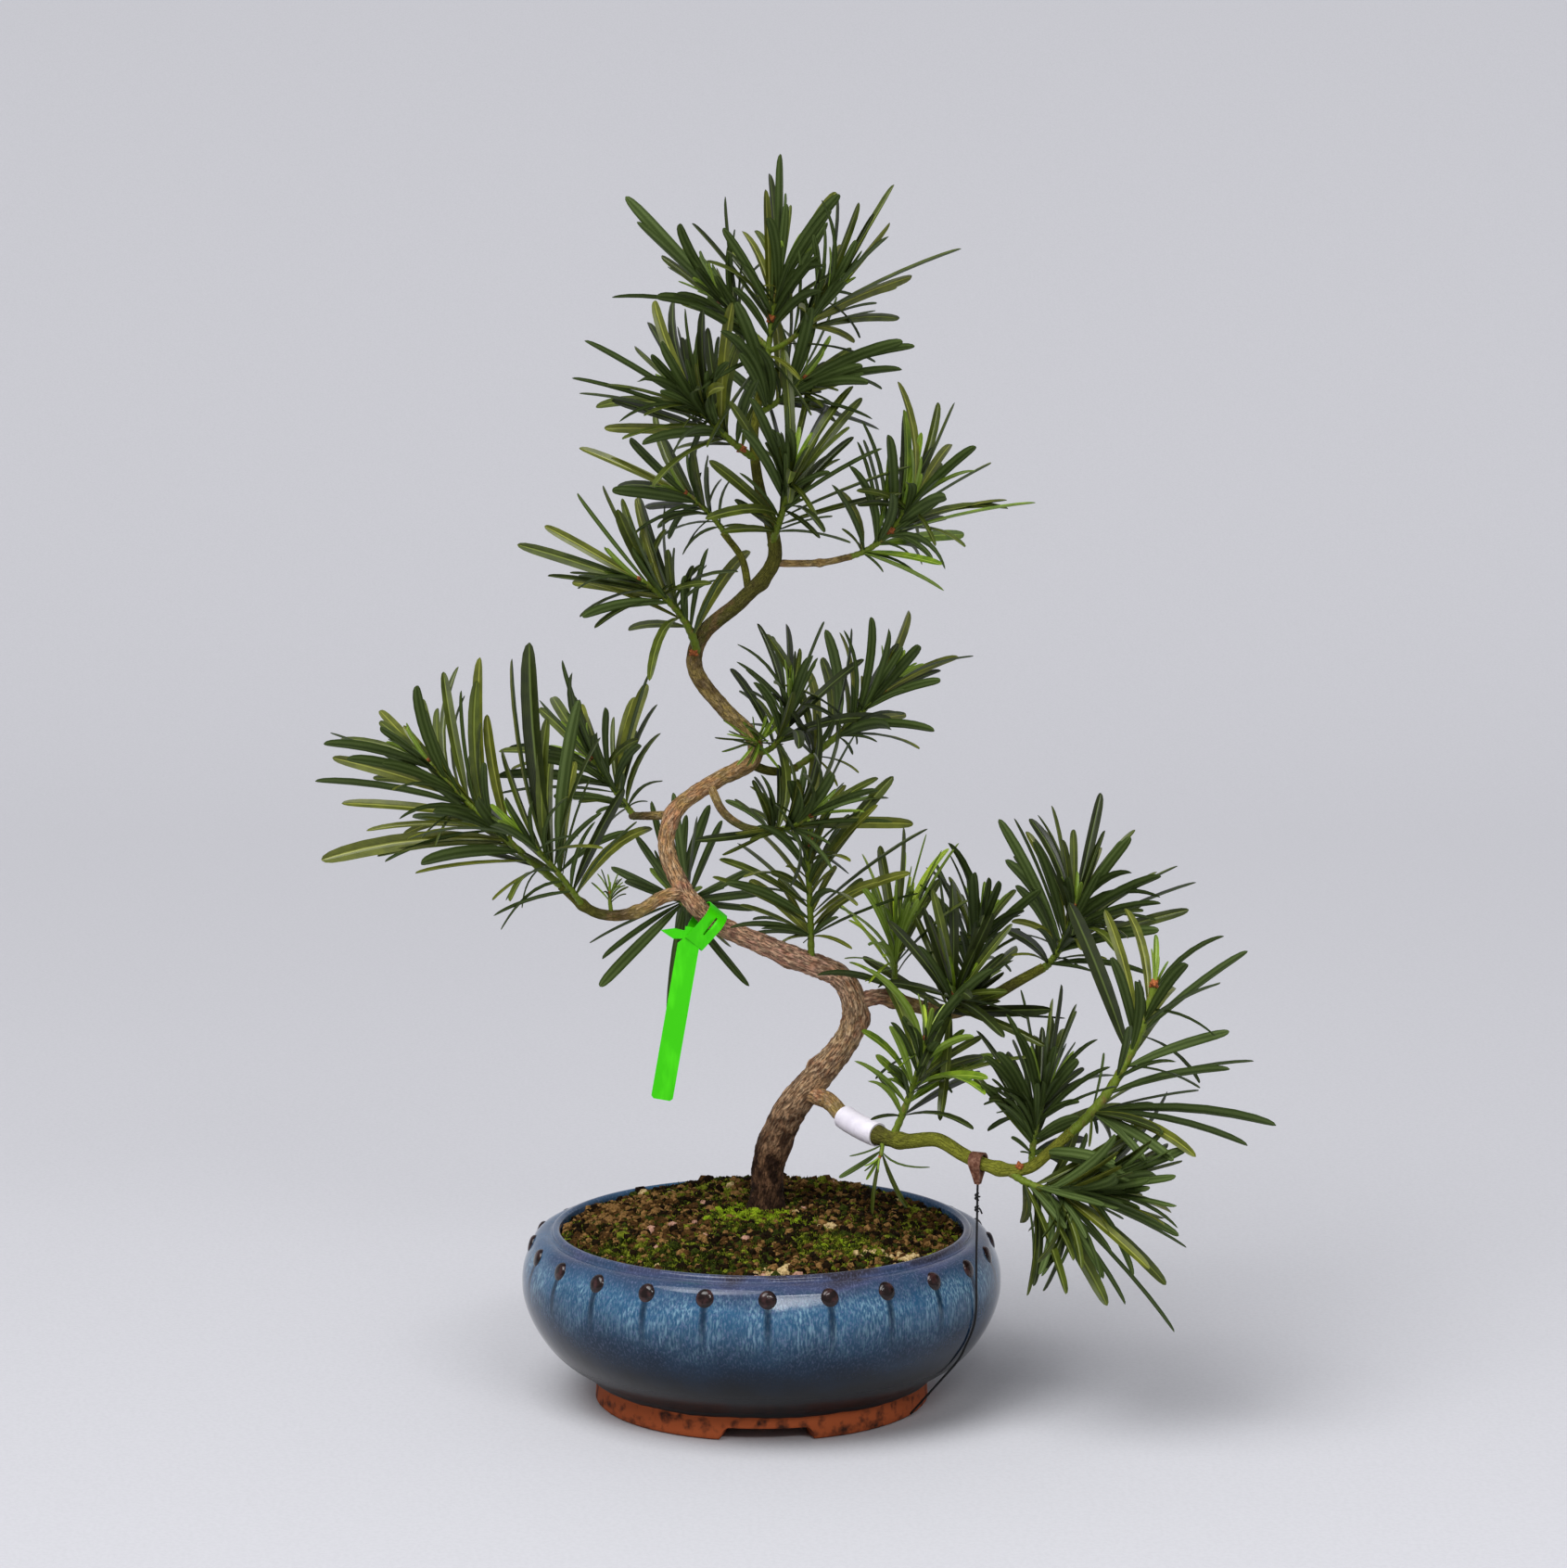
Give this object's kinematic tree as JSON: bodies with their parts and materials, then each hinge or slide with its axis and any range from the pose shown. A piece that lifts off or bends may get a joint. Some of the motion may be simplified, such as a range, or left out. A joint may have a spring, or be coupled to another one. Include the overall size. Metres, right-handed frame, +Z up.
{
  "type": "podocarpus bonsai in a drum pot",
  "caption": "Podocarpus bonsai with an S-curved trunk and sprays of strap leaves in a round blue-glazed drum pot with studs, a green label, graft tape and a tie wire.",
  "frame": {"origin": "centre of the overall box in X and Y, at the underside of the pot's foot", "axes": "+Z up, -Y towards the front of the tree, +X to its right"},
  "size_m": [0.546, 0.2963, 0.722],
  "materials": {
    "leaves": "satin, dark green strap leaves",
    "young_leaves": "satin, lime green young leaves",
    "bark": "rough, flaking bark",
    "glaze": "glossy blue glaze over an unglazed foot",
    "soil": "rough, granular soil with moss",
    "label_strap": "satin, bright green",
    "tape": "matt white",
    "pad": "matt brown",
    "wire": "satin black"
  },
  "bodies": {
    "root": {"trunk": "bark", "bough_left": "bark", "bough_left_back": "bark", "bough_mid_right": "bark", "bough_mid_front": "bark", "bough_high_right": "bark", "bough_high_left": "bark", "bough_shelf": "bark", "bough_low": "bark", "foliage_apex": "leaves", "foliage_top_right": "leaves", "foliage_top_left": "leaves", "foliage_top_front": "leaves", "foliage_high_right": "leaves", "foliage_high_left_back": "leaves", "foliage_high_left": "leaves", "sprout_trunk": "leaves", "foliage_mid_inner": "leaves", "foliage_mid_right": "leaves", "foliage_mid_front": "leaves", "foliage_mid_low": "leaves", "foliage_left_outer": "leaves", "foliage_left_inner": "leaves", "sprout_left": "leaves", "foliage_left_back": "leaves", "foliage_behind_label": "leaves", "foliage_shelf_end": "leaves", "foliage_shelf_lime": "young_leaves", "foliage_shelf_front": "leaves", "foliage_shelf_middle": "leaves", "foliage_shelf_low": "leaves", "sprout_low": "leaves", "foliage_low_rising": "leaves", "foliage_low_hanging": "leaves", "foliage_low_upright": "leaves", "pot": "glaze", "soil": "soil", "label": "label_strap", "graft_tape": "tape", "tie_pad": "pad", "tie_wire": "wire"}
  },
  "joints": []
}
